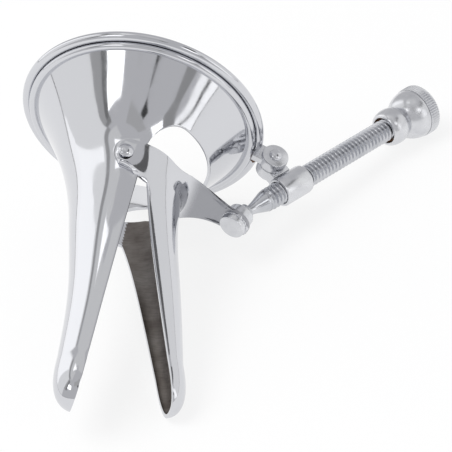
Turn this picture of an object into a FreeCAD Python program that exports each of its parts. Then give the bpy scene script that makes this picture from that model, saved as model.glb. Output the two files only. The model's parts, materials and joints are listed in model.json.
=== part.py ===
import FreeCAD, Part
import math
import os

import Sketcher
from FreeCAD import Placement, Rotation, Vector

# Bivalve speculum: a trumpet-shaped bell drawn into a fixed half-tube blade, and a second
# blade that swings on two rivets and is spread by a side screw.
# The working frame has its origin at the middle of the rolled rim. +Z runs down the blades
# to their tips, +X points from the fixed blade to the movable one, and Y is the pivot axis.
# At the end every piece is turned together, so that the instrument lies on a table.

doc = FreeCAD.newDocument("speculum")
sheet = doc.addObject("Spreadsheet::Sheet", "sizes")

# Driving sizes, in millimetres and degrees: name, value, meaning.
DRIVING = [
    ("rim_radius", 32.5, "outer radius of the rolled rim"),
    ("bead_radius", 1.25, "radius of the rolled bead"),
    ("wire_radius", 0.5, "radius of the wire inside the bead"),
    ("skin", 1.0, "thickness of the sheet metal"),
    ("edge_height", 14.0, "height of the bell's free edge on the movable side"),
    ("edge_radius", 20.8, "outer radius of the bell at its free edge"),
    ("edge_corner", 9.5, "radius between the free edge and the blade's edge"),
    ("waist_height", 26.0, "height of the bell's waist beside the rivets"),
    ("waist_radius", 15.8, "outer radius at the waist"),
    ("waist_flat", 1.3, "how much the waist is pressed in below the ears"),
    ("root_height", 38.0, "height of the blades' root"),
    ("root_radius", 13.1, "half width of the blades at the root"),
    ("middle_height", 57.4, "height of the blades' middle"),
    ("middle_radius", 8.9, "half width of the blades at the middle"),
    ("shoulder_height", 80.0, "height where the tips start to round off"),
    ("shoulder_radius", 6.7, "half width of the blades at the shoulder"),
    ("tip_height", 93.0, "height of the fixed blade's tip"),
    ("parting", 1.6, "where the two blades meet, measured from the bell's axis"),
    ("parting_gap", 0.3, "gap left between the closed blades"),
    ("root_depth", 10.8, "depth of the movable blade at the root"),
    ("middle_depth", 8.2, "depth of the movable blade at the middle"),
    ("shoulder_depth", 5.3, "depth of the movable blade at the shoulder"),
    ("heel_depth", 15.5, "depth of the movable blade at its heel"),
    ("pivot_place", -3.2, "rivet axis, measured from the bell's axis"),
    ("pivot_height", 25.9, "height of the rivet axis"),
    ("opening", 20.6, "angle between the blades as the instrument lies"),
    ("ear_face", 16.4, "inner face of the ears, measured from the middle plane"),
    ("ear_radius", 3.7, "rounding of the ears about the rivets"),
    ("ear_rise", 31.5, "height of the ears' lower corner beside the blade"),
    ("rivet_radius", 1.2, "radius of the blade rivets"),
    ("rivet_head_radius", 2.0, "radius of the rivets' domed heads"),
    ("rivet_head_height", 1.1, "height of the rivets' domed heads"),
    ("boss_radius", 3.4, "radius of the flat seats for the rivets"),
    ("boss_length", 4.8, "length of the seats, from the ears inward"),
    ("inner_head", 0.6, "thickness of the rivets' inner heads"),
    ("seat_reach", 8.8, "how far the flat beside the ears runs from the rivet axis"),
    ("seat_below", 5.9, "how far the flat runs from the rivet axis to the rim"),
    ("seat_above", 10.1, "how far the flat runs from the rivet axis to the tips"),
    ("running_fit", 0.05, "radial clearance of parts that turn on each other"),
    ("face_gap", 0.1, "gap between faces that slide on each other"),
    ("heel_height", 22.3, "height of the movable blade's heel beside the ears"),
    ("tongue_tilt", 20.0, "rise of the tongue towards the tips"),
    ("tongue_start", 10.6, "half width of the tongue at the heel"),
    ("tongue_neck", 6.0, "half width of the tongue at its neck"),
    ("tongue_end", 5.3, "radius of the tongue's round end"),
    ("heel_place", 15.6, "where the heel meets the tongue, from the bell's axis"),
    ("heel_taper", 1.6, "how much shallower the heel is beside the rivets"),
    ("ear_end", 3.6, "end of the ears' flats, from the bell's axis"),
    ("blade_short", 0.4, "how much shorter the movable blade is"),
    ("drum_place", 29.4, "middle of the drum's flat face, from the bell's axis"),
    ("drum_height", 25.9, "height of the middle of the drum's flat face"),
    ("drum_radius", 3.5, "outer radius of the drum"),
    ("drum_length", 5.6, "length of the drum"),
    ("drum_proud", 1.8, "how far the drum stands out on the tips' side"),
    ("cap_thickness", 0.8, "thickness of the drum's closing disc"),
    ("cap_radius", 2.8, "radius of the drum's closing disc"),
    ("ball_depth", 4.6, "distance from the drum's flat face to the ball's centre"),
    ("ball_radius", 1.6, "radius of the swivel ball"),
    ("ball_play", 1.1, "radial play of the ball in the drum"),
    ("ball_half", 1.25, "distance from the ball's centre to its flats"),
    ("end_collar_radius", 1.3, "radius of the collar behind the ball"),
    ("end_collar_length", 0.5, "length of the collar behind the ball"),
    ("journal_radius", 0.9, "radius of the screw's journal in the ball"),
    ("neck_radius", 1.4, "radius of the screw's neck"),
    ("neck_start", 2.6, "distance from the ball's centre to the neck"),
    ("cone_start", 4.3, "distance from the ball's centre to the cone"),
    ("thread_start", 7.8, "distance from the ball's centre to the thread"),
    ("thread_radius", 3.1, "outer radius of the thread"),
    ("thread_depth", 0.35, "how far the plain shank lies below the crests"),
    ("knob_start", 53.0, "distance from the ball's centre to the knob"),
    ("collar_radius", 5.0, "radius of the knob's collar"),
    ("collar_length", 6.4, "length of the knob's collar"),
    ("recess_radius", 3.9, "radius of the recess in the collar"),
    ("recess_depth", 1.6, "depth of the recess in the collar"),
    ("waist_knob_radius", 4.1, "radius of the groove behind the collar"),
    ("grip_radius", 7.0, "radius of the knurled grip"),
    ("grip_start", 10.2, "distance from the collar's face to the grip"),
    ("grip_length", 4.4, "length of the knurled grip"),
    ("knob_groove", 0.8, "width of the groove behind the collar"),
    ("knob_bevel", 0.6, "bevel of the groove and of the knob's end"),
    ("knob_wall", 2.0, "thickness of the knob's closed end"),
    ("knob_length", 17.0, "whole length of the knob"),
    ("lug_reach", 3.6, "how far the rim lug's axis lies beyond the rolled rim"),
    ("lug_height", 2.3, "height of the rim lug's axis"),
    ("lug_radius", 3.6, "radius of the lug's disc"),
    ("lug_thickness", 2.9, "thickness of the lug's disc"),
    ("lug_pin_radius", 1.1, "radius of the lug's rivet"),
    ("lug_head_radius", 1.7, "radius of the lug rivet's head"),
    ("lug_head_height", 1.05, "height of the lug rivet's head"),
    ("lug_arm", 2.8, "half height of the lug's arm"),
    ("lug_foot", 2.7, "how far the arm reaches inside the bead's middle"),
    ("lug_top", 4.5, "height of the arm's upper edge"),
    ("nut_offset", 7.7, "distance from the screw's axis to the lug's axis"),
    ("nut_radius", 3.95, "outer radius of the nut's barrel"),
    ("nut_length", 9.6, "length of the nut's barrel"),
    ("nut_shift", 0.8, "how far the barrel's middle lies beyond its tab"),
    ("lug_pin_washer", 2.3, "radius of the washer under the lug rivet's tail"),
    ("washer_thickness", 0.7, "thickness of that washer"),
]

for row, (name, value, meaning) in enumerate(DRIVING, start=1):
    sheet.set("A%d" % row, meaning)
    sheet.set("B%d" % row, str(value))
    sheet.setAlias("B%d" % row, name)
doc.recompute()


def size(name):
    """A driving size, read from the sheet."""
    return float(getattr(sheet, name))


skin = size("skin")
parting = size("parting")
PIVOT = Vector(size("pivot_place"), 0, size("pivot_height"))
Y_AXIS = Vector(0, 1, 0)
OPEN = Placement(Vector(), Rotation(Y_AXIS, size("opening")), PIVOT)


def along(angle):
    """Unit vector in the middle plane, at an angle from +Z towards +X."""
    return Vector(math.sin(math.radians(angle)), 0, math.cos(math.radians(angle)))


def cylinder(start, end, radius):
    """A plain cylinder between two points."""
    axis = end - start
    return Part.makeCylinder(radius, axis.Length, start, axis)


def smooth(stations):
    """A function of height through (height, value) stations."""
    curve = Part.BSplineCurve()
    points = [Vector(value, 0, height) for height, value in stations]
    heights = [height for height, value in stations]
    curve.interpolate(Points=points, Parameters=heights)
    return lambda height: curve.value(height).x


# The outline of the bell and of both blades, as functions of height.
mouth_radius = size("rim_radius") - 2 * size("bead_radius")
half_width = smooth([
    (0, mouth_radius),
    (size("edge_height"), size("edge_radius")),
    (size("waist_height"), size("waist_radius")),
    (size("root_height"), size("root_radius")),
    (size("middle_height"), size("middle_radius")),
    (size("shoulder_height"), size("shoulder_radius")),
])


def centre(height):
    """The sections' centres move from the bell's axis to the parting plane."""
    start = size("edge_height")
    share = min(max((height - start) / (size("root_height") - start), 0), 1)
    return parting * share * share * (3 - 2 * share)


def pressed(height):
    """How much the waist is narrowed beside the rivets."""
    reach = size("root_height") - size("waist_height")
    share = max(1 - abs(height - size("waist_height")) / reach, 0)
    return size("waist_flat") * share * share * (3 - 2 * share)


def section(height, depth, width, middle):
    """One elliptical section of a lofted skin."""
    place = Vector(middle, 0, height)
    if abs(depth - width) < 1e-6:
        return Part.Wire(Part.Circle(place, Vector(0, 0, 1), width).toShape())
    if depth > width:
        ellipse = Part.Ellipse(place + Vector(depth, 0, 0), place + Vector(0, width, 0), place)
    else:
        ellipse = Part.Ellipse(place + Vector(0, width, 0), place - Vector(depth, 0, 0), place)
    return Part.Wire(ellipse.toShape())


def nose(height, shoulder, tip):
    """Share of the shoulder's radius that is left at a height on a rounded tip."""
    if height <= shoulder:
        return 1.0
    share = (height - shoulder) / (tip - shoulder)
    return max(1 - share ** 2.5, 0) ** 0.4


def spread(start, end, count):
    """Evenly spaced heights, both ends included."""
    return [start + (end - start) * step / (count - 1) for step in range(count)]


def skin_solid(depth, width, middle, start, tip, inset):
    """The solid inside a lofted skin, with its outer face moved in by the inset."""
    shoulder = size("shoulder_height")
    top = tip - inset
    heights = spread(start, shoulder, 13)
    heights += [shoulder + (top - shoulder) * share for share in (0.3, 0.55, 0.75, 0.9, 0.97, 0.997)]
    wires = []
    for height in heights:
        base = min(height, shoulder)
        slope = (width(base + 0.05) - width(base - 0.05)) / 0.1
        inward = inset * math.sqrt(1 + slope * slope)
        share = nose(height, shoulder, top)
        wires.append(section(height, (depth(base) - inward) * share,
                             (width(base) - inward) * share, middle(base)))
    return Part.makeLoft(wires, True, False)


def prism(points, low, high):
    """A slab over an outline of (x, z) points, between two values of y."""
    corners = [Vector(x, low, z) for x, z in points]
    face = Part.Face(Part.makePolygon(corners + corners[:1]))
    return face.extrude(Vector(0, high - low, 0))


def flip(shape):
    """The same shape on the other side of the middle plane."""
    return shape.mirror(Vector(), Y_AXIS)


def feature(name, shape):
    """A sub-part whose shape is built from the sizes in the sheet."""
    item = doc.addObject("Part::Feature", name)
    item.Label = name
    item.Shape = shape
    return item


FAR = 2 * size("tip_height")
ear_face = size("ear_face")


# The bell and the fixed blade are one sheet: a lofted skin, open on the movable side.
def pressed_width(height):
    """Half width of the bell and the fixed blade, pressed in at the waist."""
    return half_width(height) - pressed(height)


bell_skins = [skin_solid(half_width, pressed_width, centre, -0.7 * size("bead_radius"),
                         size("tip_height"), inset) for inset in (0, skin)]


def bell_and_fixed_blade():
    shell = bell_skins[0].cut(bell_skins[1])

    edge = parting - size("parting_gap") / 2
    corner = size("edge_corner")
    low = size("edge_height")
    bend = Part.Arc(Vector(edge, -FAR, low + corner),
                    Vector(edge + corner * (1 - math.sqrt(0.5)), -FAR,
                           low + corner * (1 - math.sqrt(0.5))),
                    Vector(edge + corner, -FAR, low)).toShape()
    rest = Part.makePolygon([Vector(edge + corner, -FAR, low), Vector(FAR, -FAR, low),
                             Vector(FAR, -FAR, FAR), Vector(edge, -FAR, FAR),
                             Vector(edge, -FAR, low + corner)])
    window = Part.Face(Part.Wire([bend] + rest.Edges)).extrude(Vector(0, 2 * FAR, 0))
    shell = shell.cut(window)

    # The sheet is rolled round a wire at the rim.
    bead = size("bead_radius")
    ring = size("rim_radius") - bead
    roll = Part.makeTorus(ring, bead)
    shell = shell.fuse(roll)
    shell = shell.cut(Part.makeTorus(ring, size("wire_radius") + size("running_fit")))

    # Flat seats for the ears, with holes for the rivets.
    seat = ear_face - size("face_gap")
    back = PIVOT.x - size("seat_reach")
    low_z, high_z = PIVOT.z - size("seat_below"), PIVOT.z + size("seat_above")
    flat = prism([(back, low_z), (FAR, low_z), (FAR, high_z), (back, high_z)], seat, FAR)
    for side in (1, -1):
        outer_end = PIVOT + Y_AXIS * side * seat
        inner_end = PIVOT + Y_AXIS * side * (seat - size("boss_length"))
        boss = cylinder(inner_end, outer_end, size("boss_radius"))
        hole = cylinder(PIVOT, PIVOT + Y_AXIS * side * FAR, size("rivet_radius"))
        shell = shell.fuse(boss)
        shell = shell.cut(flat if side > 0 else flip(flat))
        spot = cylinder(PIVOT, inner_end, size("boss_radius"))
        shell = shell.cut(spot)
        shell = shell.cut(hole)
    return shell.removeSplitter()


feature("bell_and_fixed_blade", bell_and_fixed_blade())
feature("rim_wire", Part.makeTorus(size("rim_radius") - size("bead_radius"), size("wire_radius")))


# The movable blade is drawn closed, and then swung open about its rivets.
heel_middle = parting + size("parting_gap") / 2
blade_width = smooth([
    (size("edge_height"), ear_face + skin),
    (size("waist_height"), ear_face + skin),
    (size("root_height"), size("root_radius")),
    (size("middle_height"), size("middle_radius")),
    (size("shoulder_height"), size("shoulder_radius")),
])
blade_depth = smooth([
    (size("edge_height"), size("heel_depth")),
    (size("waist_height"), size("heel_depth") - size("heel_taper")),
    (size("root_height"), size("root_depth")),
    (size("middle_height"), size("middle_depth")),
    (size("shoulder_height"), size("shoulder_depth")),
])
OUTWARD = along(90 - size("tongue_tilt"))
NORMAL = along(-size("tongue_tilt"))
FACE = Vector(size("drum_place"), 0, size("drum_height"))
SEAT = FACE - NORMAL * size("drum_proud")


def below_tongue(drop):
    """Everything on the ring's side of the tongue's face, lowered by a distance."""
    start = SEAT - NORMAL * drop
    corners = [start + OUTWARD * FAR, start - OUTWARD * FAR,
               start - OUTWARD * FAR - NORMAL * FAR, start + OUTWARD * FAR - NORMAL * FAR]
    return prism([(corner.x, corner.z) for corner in corners], -FAR, FAR)


def tongue_outline():
    """The tongue's plan: wide at the heel, a narrow neck, and a round end about the drum."""
    wide = size("tongue_start")
    neck = size("tongue_neck")
    round_end = size("tongue_end")
    root_x = heel_middle + 0.5 * size("heel_depth")
    step = (SEAT.x - root_x) / 3
    sides = []
    for side in (1, -1):
        curve = Part.BSplineCurve()
        curve.interpolate(Points=[Vector(root_x, side * 1.14 * wide, 0),
                                  Vector(root_x + 1.25 * step, side * 0.88 * wide, 0),
                                  Vector(root_x + 2.2 * step, side * neck, 0),
                                  Vector(SEAT.x, side * round_end, 0)])
        sides.append(curve.toShape())
    tip_arc = Part.Arc(Vector(SEAT.x, round_end, 0), Vector(SEAT.x + round_end, 0, 0),
                       Vector(SEAT.x, -round_end, 0)).toShape()
    back = Part.LineSegment(Vector(root_x, -1.14 * wide, 0),
                            Vector(root_x, 1.14 * wide, 0)).toShape()
    wire = Part.Wire([sides[0], tip_arc, sides[1], back])
    return Part.Face(wire)


def movable_blade():
    closed = [skin_solid(blade_depth, blade_width, lambda height: heel_middle,
                         size("edge_height"), size("tip_height") - size("blade_short"), inset)
              for inset in (0, skin)]
    keep = Part.makeBox(FAR, FAR, FAR, Vector(heel_middle, -FAR / 2, 0))
    outer, inner = [wall.common(keep) for wall in closed]
    for wall in (outer, inner):
        wall.Placement = OPEN
    trough = outer.cut(inner)

    plate = below_tongue(0).cut(below_tongue(skin))
    outline = tongue_outline().extrude(Vector(0, 0, FAR))
    plate = plate.common(outline).cut(inner)

    # The heel runs straight from the ears to the tongue.
    ears_end = Vector(size("ear_end"), 0, size("heel_height"))
    level = SEAT - NORMAL * skin
    meet = level + OUTWARD * ((size("heel_place") - level.x) / OUTWARD.x)
    fall = meet - ears_end
    start = ears_end - fall
    beyond = meet + OUTWARD * FAR
    trim = prism([(start.x, start.z), (meet.x, meet.z), (beyond.x, beyond.z),
                  (beyond.x, -FAR), (start.x, -FAR)], -FAR, FAR)
    trough = trough.cut(trim)

    radius = size("ear_radius")
    pivot_x = size("pivot_place")
    pivot_z = size("pivot_height")
    neck = prism([(pivot_x, pivot_z - radius), (ears_end.x, size("heel_height")),
                  (ears_end.x, size("ear_rise")), (pivot_x + 0.4 * radius, pivot_z + 0.92 * radius)],
                 ear_face, ear_face + skin)
    disc = cylinder(PIVOT + Y_AXIS * ear_face, PIVOT + Y_AXIS * (ear_face + skin), radius)
    ear = disc.fuse(neck)
    blade = trough.fuse([plate, ear, flip(ear)])

    hole = size("rivet_radius") + size("running_fit")
    blade = blade.cut(cylinder(PIVOT - Y_AXIS * FAR, PIVOT + Y_AXIS * FAR, hole))
    blade = blade.cut(cylinder(FACE + NORMAL, FACE - NORMAL * FAR, size("drum_radius")))
    return blade.removeSplitter()


feature("movable_blade", movable_blade())


def term_value(term):
    """The number that an expression of the sheet's sizes stands for."""
    if isinstance(term, str):
        return float(sheet.evalExpression(term.replace("sizes.", "")))
    return float(term)


def turned(name, outline, start, direction):
    """A turned piece: a closed half outline of (radius, distance) corners, spun about its axis."""
    body = doc.addObject("PartDesign::Body", name)
    body.Label = name
    sketch = body.newObject("Sketcher::SketchObject", name + "_outline")
    plane = [item for item in body.Origin.OriginFeatures if item.Role == "XZ_Plane"][0]
    sketch.AttachmentSupport = [(plane, "")]
    sketch.MapMode = "FlatFace"
    count = len(outline)
    corners = [Vector(term_value(radius), term_value(distance), 0) for radius, distance in outline]
    for index in range(count):
        line = Part.LineSegment(corners[index], corners[(index + 1) % count])
        sketch.addGeometry(line, False)
    for index in range(count):
        sketch.addConstraint(Sketcher.Constraint("Coincident", index, 2, (index + 1) % count, 1))
    for index, terms in enumerate(outline):
        for kind, term in zip(("DistanceX", "DistanceY"), terms):
            if term == 0:
                axis = -2 if kind == "DistanceX" else -1
                sketch.addConstraint(Sketcher.Constraint("PointOnObject", index, 1, axis))
                continue
            rule = Sketcher.Constraint(kind, -1, 1, index, 1, term_value(term))
            spot = sketch.addConstraint(rule)
            sketch.setExpression("Constraints[%d]" % spot, term)
    turn = body.newObject("PartDesign::Revolution", name + "_turned")
    turn.Profile = sketch
    turn.ReferenceAxis = (sketch, ["V_Axis"])
    turn.Angle = 360
    body.Placement = Placement(start, Rotation(Vector(0, 0, 1), direction))
    return body


# Two rivets hold the ears. Each has a small inner head, a shank and a domed outer head.
def blade_rivet(name, side):
    inner = "sizes.ear_face - sizes.face_gap - sizes.boss_length"
    outer = "sizes.ear_face + sizes.skin + sizes.face_gap / 2"
    dome = [("sizes.rivet_head_radius", outer),
            ("0.94 * sizes.rivet_head_radius", outer + " + 0.4 * sizes.rivet_head_height"),
            ("0.72 * sizes.rivet_head_radius", outer + " + 0.74 * sizes.rivet_head_height"),
            ("0.4 * sizes.rivet_head_radius", outer + " + 0.94 * sizes.rivet_head_height"),
            (0, outer + " + sizes.rivet_head_height")]
    outline = [(0, inner + " - sizes.inner_head"),
               ("sizes.rivet_head_radius", inner + " - sizes.inner_head"),
               ("sizes.rivet_head_radius", inner), ("sizes.rivet_radius", inner),
               ("sizes.rivet_radius", outer)] + dome
    turned(name, outline, PIVOT, Y_AXIS * side)


blade_rivet("near_blade_rivet", 1)
blade_rivet("far_blade_rivet", -1)


# The drum stands through the tongue's end. Its chamber holds the screw's swivel ball.
BALL = FACE - NORMAL * size("ball_depth")
turned("swivel_drum", [
    ("sizes.cap_radius", 0),
    ("sizes.drum_radius", 0),
    ("sizes.drum_radius", "sizes.drum_length"),
    ("sizes.ball_radius + sizes.ball_play", "sizes.drum_length"),
    ("sizes.ball_radius + sizes.ball_play", "sizes.cap_thickness"),
    ("sizes.cap_radius", "sizes.cap_thickness"),
], FACE, NORMAL * -1)
turned("drum_cap", [
    (0, 0),
    ("sizes.cap_radius", 0),
    ("sizes.cap_radius", "sizes.cap_thickness"),
    (0, "sizes.cap_thickness"),
], FACE, NORMAL * -1)

# The screw's axis runs from the ball past the lug, at the nut's offset.
LUG = Vector(size("rim_radius") + size("lug_reach"), 0, size("lug_height"))
reach = (LUG - BALL).Length
lean = math.atan2(LUG.z - BALL.z, LUG.x - BALL.x) + math.asin(size("nut_offset") / reach)
SCREW = Vector(math.cos(lean), 0, math.sin(lean))
FOOT = BALL + SCREW * math.sqrt(reach ** 2 - size("nut_offset") ** 2)

bore = size("journal_radius") + size("running_fit")
flats = size("ball_half")
ball = Part.makeSphere(size("ball_radius"), BALL)
slab = cylinder(BALL - SCREW * flats, BALL + SCREW * flats, 2 * size("ball_radius"))
feature("swivel_ball", ball.common(slab).cut(cylinder(BALL - SCREW * FAR, BALL + SCREW * FAR, bore)))

end = "sizes.ball_half + sizes.face_gap / 2"
shank = "sizes.thread_radius - sizes.thread_depth"
knob_bore_end = "sizes.knob_start + sizes.knob_length - sizes.knob_wall"
turned("screw_rod", [
    (0, "-(" + end + " + sizes.end_collar_length)"),
    ("sizes.end_collar_radius", "-(" + end + " + sizes.end_collar_length)"),
    ("sizes.end_collar_radius", "-(" + end + ")"),
    ("sizes.journal_radius", "-(" + end + ")"),
    ("sizes.journal_radius", "sizes.neck_start"),
    ("sizes.neck_radius", "sizes.neck_start"),
    ("sizes.neck_radius", "sizes.cone_start"),
    (shank, "sizes.thread_start"),
    (shank, knob_bore_end),
    (0, knob_bore_end),
], BALL, SCREW)

grip_end = "sizes.grip_start + sizes.grip_length"
groove = "sizes.collar_length + sizes.knob_bevel"
turned("knob", [
    (shank, "sizes.recess_depth"),
    ("sizes.recess_radius", "sizes.recess_depth"),
    ("sizes.recess_radius", 0),
    ("sizes.collar_radius", 0),
    ("sizes.collar_radius", "sizes.collar_length"),
    ("sizes.waist_knob_radius", groove),
    ("sizes.waist_knob_radius", groove + " + sizes.knob_groove"),
    ("sizes.collar_radius", groove + " + sizes.knob_groove + sizes.knob_bevel"),
    ("sizes.grip_radius", "sizes.grip_start"),
    ("sizes.grip_radius", grip_end),
    ("0.8 * sizes.grip_radius", grip_end + " + 2 * sizes.knob_bevel"),
    ("0.4 * sizes.grip_radius", "sizes.knob_length - 0.5 * sizes.knob_bevel"),
    (0, "sizes.knob_length"),
    (0, "sizes.knob_length - sizes.knob_wall"),
    (shank, "sizes.knob_length - sizes.knob_wall"),
], BALL + SCREW * size("knob_start"), SCREW)

# The lug is soldered to the rim, and the nut's tab turns beside it on one rivet.
half_gap = size("face_gap") / 2
thickness = size("lug_thickness")
near_face = Y_AXIS * (half_gap + thickness)
ring = size("rim_radius") - size("bead_radius")


def rim_lug():
    disc = cylinder(LUG + Y_AXIS * half_gap, LUG + near_face, size("lug_radius"))
    foot = ring - size("lug_foot")
    top = size("lug_top")
    low = -size("bead_radius") / 2
    half = size("lug_arm")
    arm = prism([(foot, -low), (ring + size("bead_radius"), low), (LUG.x, LUG.z - half),
                 (LUG.x, LUG.z + half), (ring, top), (foot, top)], half_gap, half_gap + thickness)
    arm = arm.cut(bell_skins[0])
    arm = arm.cut(Part.makeTorus(ring, size("bead_radius")))
    pin = cylinder(LUG - Y_AXIS * FAR, LUG + Y_AXIS * FAR, size("lug_pin_radius"))
    return disc.fuse(arm).cut(pin).removeSplitter()


def swivel_nut():
    middle = FOOT + SCREW * size("nut_shift")
    half = SCREW * (size("nut_length") / 2)
    barrel = cylinder(middle - half, middle + half, size("nut_radius"))
    disc = cylinder(LUG - Y_AXIS * half_gap, LUG - near_face, size("lug_radius"))
    side = SCREW * (0.9 * size("lug_radius"))
    corners = [LUG - side, LUG + side, FOOT + side, FOOT - side]
    web = prism([(corner.x, corner.z) for corner in corners], -half_gap - thickness, -half_gap)
    nut = barrel.fuse([disc, web])
    nut = nut.cut(cylinder(FOOT - SCREW * FAR, FOOT + SCREW * FAR,
                           size("thread_radius") - size("thread_depth") + size("running_fit")))
    nut = nut.cut(cylinder(LUG - Y_AXIS * FAR, LUG + Y_AXIS * FAR,
                           size("lug_pin_radius") + size("running_fit")))
    return nut.removeSplitter()


feature("rim_lug", rim_lug())
feature("swivel_nut", swivel_nut())

tail = "-(sizes.lug_thickness + sizes.face_gap)"
head = "sizes.lug_thickness + sizes.face_gap / 2"
turned("lug_rivet", [
    (0, tail + " - sizes.washer_thickness"),
    ("sizes.lug_pin_washer", tail + " - sizes.washer_thickness"),
    ("sizes.lug_pin_washer", tail),
    ("sizes.lug_pin_radius", tail),
    ("sizes.lug_pin_radius", head),
    ("sizes.lug_head_radius", head),
    ("0.9 * sizes.lug_head_radius", head + " + 0.48 * sizes.lug_head_height"),
    ("0.55 * sizes.lug_head_radius", head + " + 0.86 * sizes.lug_head_height"),
    (0, head + " + sizes.lug_head_height"),
], LUG, Y_AXIS)

doc.recompute()


# The instrument lies on its rim, its knob and the movable blade's tip, with the bell's axis
# running towards -Y.
pieces = [item for item in doc.Objects
          if item.TypeId in ("PartDesign::Body", "Part::Feature")]
blade_points = doc.getObject("movable_blade").Shape.tessellate(0.1)[0]
grip_ends = [BALL + SCREW * (size("knob_start") + term_value(distance))
             for distance in ("sizes.grip_start", grip_end)]


def rests(up):
    """How far below the origin the rim, the knob and the movable blade reach."""
    rim = ring * math.sqrt(1 - up.z ** 2) + size("bead_radius")
    tilt = math.sqrt(1 - up.dot(SCREW) ** 2)
    knob = max(size("grip_radius") * tilt - up.dot(end_point) for end_point in grip_ends)
    blade = max(-up.dot(point) for point in blade_points)
    return rim, knob, blade


def level(turns):
    """The upward direction after a roll and a pitch, in radians."""
    roll, pitch = turns
    return Vector(-math.sin(roll) * math.cos(pitch), math.cos(roll) * math.cos(pitch),
                  -math.sin(pitch))


def misfit(turns):
    rim, knob, blade = rests(level(turns))
    return knob - rim, blade - rim


turns = [0.4, 0.2]
for step in range(12):
    knob_off, blade_off = misfit(turns)
    tiny = 1e-4
    by_roll = misfit([turns[0] + tiny, turns[1]])
    by_pitch = misfit([turns[0], turns[1] + tiny])
    a, c = (by_roll[0] - knob_off) / tiny, (by_roll[1] - blade_off) / tiny
    b, d = (by_pitch[0] - knob_off) / tiny, (by_pitch[1] - blade_off) / tiny
    scale = a * d - b * c
    turns[0] -= (knob_off * d - blade_off * b) / scale
    turns[1] -= (blade_off * a - knob_off * c) / scale
UP = level(turns)
down_axis = Vector(0, 0, 1) - UP * UP.z
down_axis.normalize()
row_y = down_axis * -1
row_x = row_y.cross(UP)
turn = FreeCAD.Matrix(row_x.x, row_x.y, row_x.z, 0, row_y.x, row_y.y, row_y.z, 0,
                      UP.x, UP.y, UP.z, 0, 0, 0, 0, 1)
lie = Placement(turn)
print("roll and pitch", [round(math.degrees(value), 2) for value in turns], "misfit", misfit(turns))
for item in pieces:
    item.Placement = lie.multiply(item.Placement)
doc.recompute()
box = Part.makeCompound([item.Shape for item in pieces]).optimalBoundingBox()
drop = Placement(Vector(-box.Center.x, -box.Center.y, -box.ZMin), Rotation())
for item in pieces:
    item.Placement = drop.multiply(item.Placement)
doc.recompute()

for item in doc.Objects:
    if "Invalid" in item.State or "Error" in item.State:
        raise RuntimeError("failed: " + item.Name)
for item in pieces:
    if item.Shape.isNull() or not item.Shape.isValid():
        raise RuntimeError("bad shape: " + item.Label)

os.makedirs("parts", exist_ok=True)
for item in pieces:
    item.Shape.exportStep("parts/" + item.Label + ".step")
    print(item.Label, len(item.Shape.Solids), round(item.Shape.Volume, 1))
whole = Part.makeCompound([item.Shape for item in pieces]).optimalBoundingBox()
print("box", [round(value, 2) for value in (whole.XMin, whole.XMax, whole.YMin, whole.YMax,
                                            whole.ZMin, whole.ZMax)])
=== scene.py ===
# %% [markdown]
# A bivalve speculum is a hand instrument: a trumpet-shaped bell is drawn out into a fixed
# half-tube blade, and a second blade swings on two rivets and is spread by a side screw.
# The first cell loads the measured frame. Its nodes give the joints and the true places, and
# most of the visible pieces are then modelled again with smoother skins and finer detail.

# %% Load the frame
import json
import math
from collections import Counter
import bpy
from mathutils import Matrix, Vector


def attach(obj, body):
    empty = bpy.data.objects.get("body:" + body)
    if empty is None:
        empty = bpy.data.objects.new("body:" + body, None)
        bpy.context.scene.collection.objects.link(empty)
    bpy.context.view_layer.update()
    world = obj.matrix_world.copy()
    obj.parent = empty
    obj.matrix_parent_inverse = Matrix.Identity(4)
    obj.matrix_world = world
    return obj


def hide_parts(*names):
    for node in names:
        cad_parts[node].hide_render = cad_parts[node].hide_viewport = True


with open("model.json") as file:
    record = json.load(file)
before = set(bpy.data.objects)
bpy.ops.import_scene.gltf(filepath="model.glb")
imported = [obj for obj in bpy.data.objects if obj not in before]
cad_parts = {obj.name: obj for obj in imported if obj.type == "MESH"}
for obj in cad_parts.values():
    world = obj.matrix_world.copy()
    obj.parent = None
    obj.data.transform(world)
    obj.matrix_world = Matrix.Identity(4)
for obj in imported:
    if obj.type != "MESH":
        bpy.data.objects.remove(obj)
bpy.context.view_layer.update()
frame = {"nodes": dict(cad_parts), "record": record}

# %% [markdown]
# The instrument lies tilted on the table, on its rim, its knob and one blade tip. That is an
# awkward pose to model in, so every piece is shaped in a working frame in millimetres: the
# origin is the middle of the rim, Z runs down the blades to the tips, X points from the fixed
# blade to the movable one, and Y is the pivot axis. Three joints of the frame lie in the
# middle plane, and they give the turn from the working frame to the table.

# %% The working frame
joints = {joint["name"]: joint for joint in frame["record"]["behaviour"]["joints"]}
PIVOT = Vector((-3.2, 0, 25.9))
LUG = Vector((36.1, 0, 2.3))
row_pivot = Vector(joints["blade_pivot"]["pos_m"])
row_lug = Vector(joints["nut_swivel"]["pos_m"])
row_y = Vector(joints["blade_pivot"]["axis"]).normalized()


def frame_of(first, second):
    """Three square axes: along the first direction, along the second, and across both."""
    first = (first - second * first.dot(second)).normalized()
    return Matrix((first, second, first.cross(second))).transposed()


work_axes = frame_of(LUG - PIVOT, Vector((0, 1, 0)))
row_axes = frame_of(row_lug - row_pivot, row_y)
TURN = row_axes @ work_axes.transposed()
TO_ROW = (Matrix.Translation(row_pivot) @ TURN.to_4x4() @ Matrix.Scale(0.001, 4)
          @ Matrix.Translation(-PIVOT))
print("middle of the rim on the table", [round(value, 4) for value in TO_ROW @ Vector()])

# %% [markdown]
# A few helpers keep the cells short. Edit-mode operators act on all that is selected, so
# everything is deselected before a new primitive is added. A sheet-metal skin is a grid
# whose points are laid on a curved surface; a turned piece is a circle that is extruded and
# scaled station by station, as a lathe tool would follow its outline.

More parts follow.
